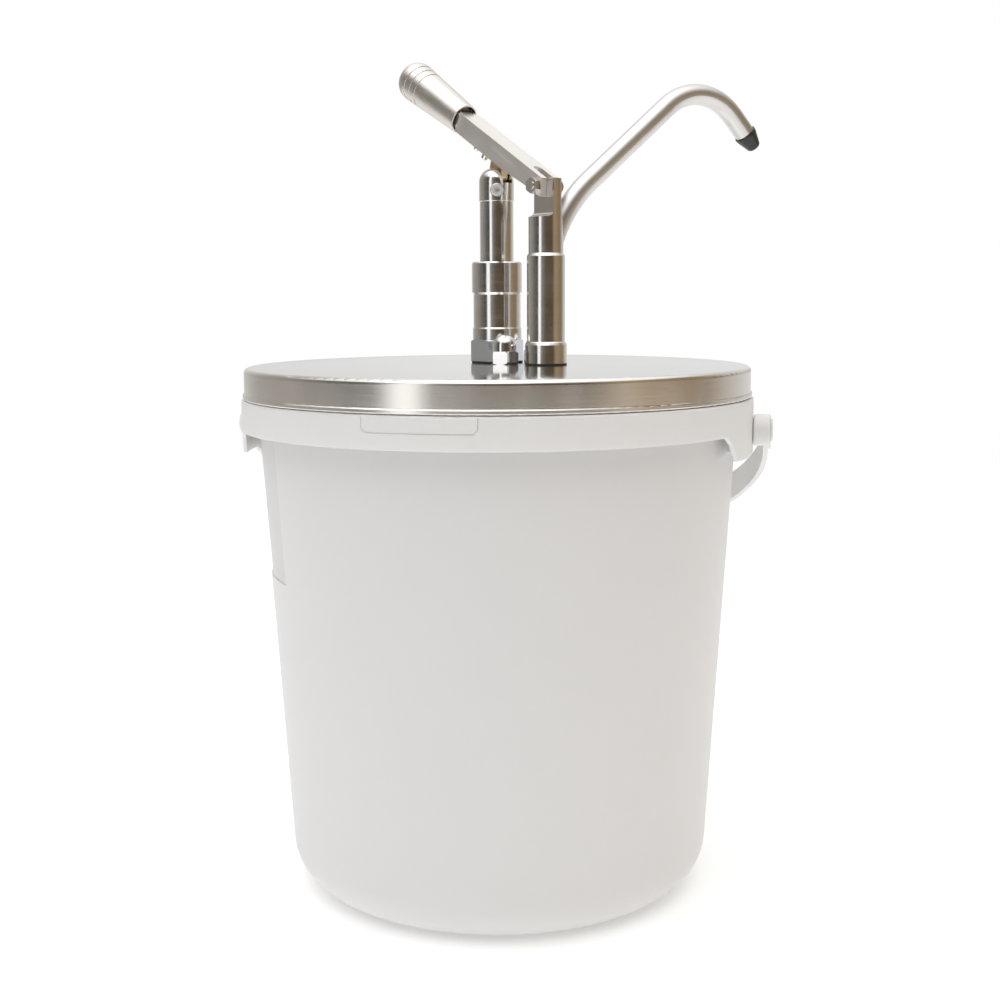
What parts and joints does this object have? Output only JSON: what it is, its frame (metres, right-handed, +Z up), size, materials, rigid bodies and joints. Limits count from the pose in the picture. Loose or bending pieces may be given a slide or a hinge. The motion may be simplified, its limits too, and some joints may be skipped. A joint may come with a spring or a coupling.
{
  "type": "condiment pump dispenser",
  "caption": "Plastic bucket with a bail and a steel lid that carries a lever-operated piston pump with a swan-neck spout, for serving sauces by the stroke.",
  "frame": {"origin": "centre of the bucket's foot ring, on the floor it stands on; the bucket, lid and pump column share this upright axis", "axes": "+Z up; the lever's knob is on the -X side and its pivot runs along Y; the spout delivers towards +Y, 77 degrees round from +X"},
  "size_m": [0.2701, 0.2664, 0.4293],
  "materials": {
    "bucket_plastic": "satin, slightly translucent",
    "bail_plastic": "satin",
    "lid_steel": "satin",
    "satin_steel": "satin",
    "polished_steel": "polished",
    "link_brass": "machined",
    "black_rubber": "matt",
    "black_plastic": "satin",
    "white_plastic": "matt",
    "spring_steel": "drawn wire",
    "ball_steel": "ground"
  },
  "bodies": {
    "bucket": {"bucket": "bucket_plastic"},
    "bail": {"bail": "bail_plastic"},
    "pump": {"lid": "lid_steel", "lid_seal": "white_plastic", "clamp_plate": "satin_steel", "lid_studs": "polished_steel", "stud_nuts": "polished_steel", "dome_nuts": "polished_steel", "hex_collar": "polished_steel", "pump_gasket": "black_rubber", "outlet_gasket": "black_rubber", "guide_sleeve": "polished_steel", "rod_bush": "white_plastic", "rod_wiper": "black_rubber", "cylinder_head": "white_plastic", "rod_seal": "black_rubber", "pump_cylinder": "polished_steel", "return_spring": "spring_steel", "valve_block": "white_plastic", "intake_seat": "polished_steel", "outlet_seat": "polished_steel", "ball_stop_pins": "polished_steel", "channel_plug": "polished_steel", "suction_tube": "white_plastic", "suction_strainer": "white_plastic", "outlet_valve_body": "white_plastic", "riser_pipe": "polished_steel", "outlet_lock_nut": "polished_steel", "outlet_collar": "polished_steel", "outlet_column": "polished_steel", "spout_pipe": "polished_steel", "spout_nozzle": "black_plastic", "pivot_bolt": "polished_steel", "pivot_nut": "polished_steel"},
    "lever": {"lever": "satin_steel", "lever_pin": "satin_steel", "stop_screws": "polished_steel", "knob_stud": "polished_steel", "knob": "satin_steel"},
    "rod": {"piston_rod": "polished_steel", "rod_head": "polished_steel", "head_screw": "polished_steel", "clevis_pin": "satin_steel", "piston": "white_plastic", "piston_seals": "black_rubber", "piston_nut": "polished_steel"},
    "link": {"link": "link_brass"},
    "intake_ball": {"intake_ball": "ball_steel"},
    "outlet_ball": {"outlet_ball": "ball_steel"}
  },
  "joints": [
    {"name": "bail_swing", "type": "hinge", "parent": "bucket", "child": "bail", "pos_m": [0, 0, 0.2382], "axis": [0.809, 0.5878, 0], "range_deg": [0, 105]},
    {"name": "lid_lift", "type": "slide", "parent": "bucket", "child": "pump", "axis": [0, 0, 1], "range_m": [0, 0.3]},
    {"name": "lever_pivot", "type": "hinge", "parent": "pump", "child": "lever", "pos_m": [0.0358, 0, 0.359], "axis": [0, -1, 0], "range_deg": [0, 40]},
    {"name": "rod_stroke", "type": "slide", "parent": "pump", "child": "rod", "axis": [0, 0, -1], "range_m": [0, 0.02592], "stiffness_N_per_m": 400, "springref_m": -0.045, "deforming": ["return_spring"]},
    {"name": "link_pin", "type": "hinge", "parent": "lever", "child": "link", "pos_m": [0.00294, 0, 0.3781], "axis": [0, -1, 0], "range_deg": [-22, 0.5]},
    {"name": "intake_ball_lift", "type": "slide", "parent": "pump", "child": "intake_ball", "axis": [0, 0, 1], "range_m": [0, 0.004]},
    {"name": "outlet_ball_lift", "type": "slide", "parent": "pump", "child": "outlet_ball", "axis": [0, 0, 1], "range_m": [0, 0.004]}
  ],
  "couplings": [
    {"joint": "rod_stroke", "follows": "lever_pivot", "m_per_rad": 0.037099},
    {"joint": "link_pin", "follows": "lever_pivot", "ratio": -0.53125}
  ]
}
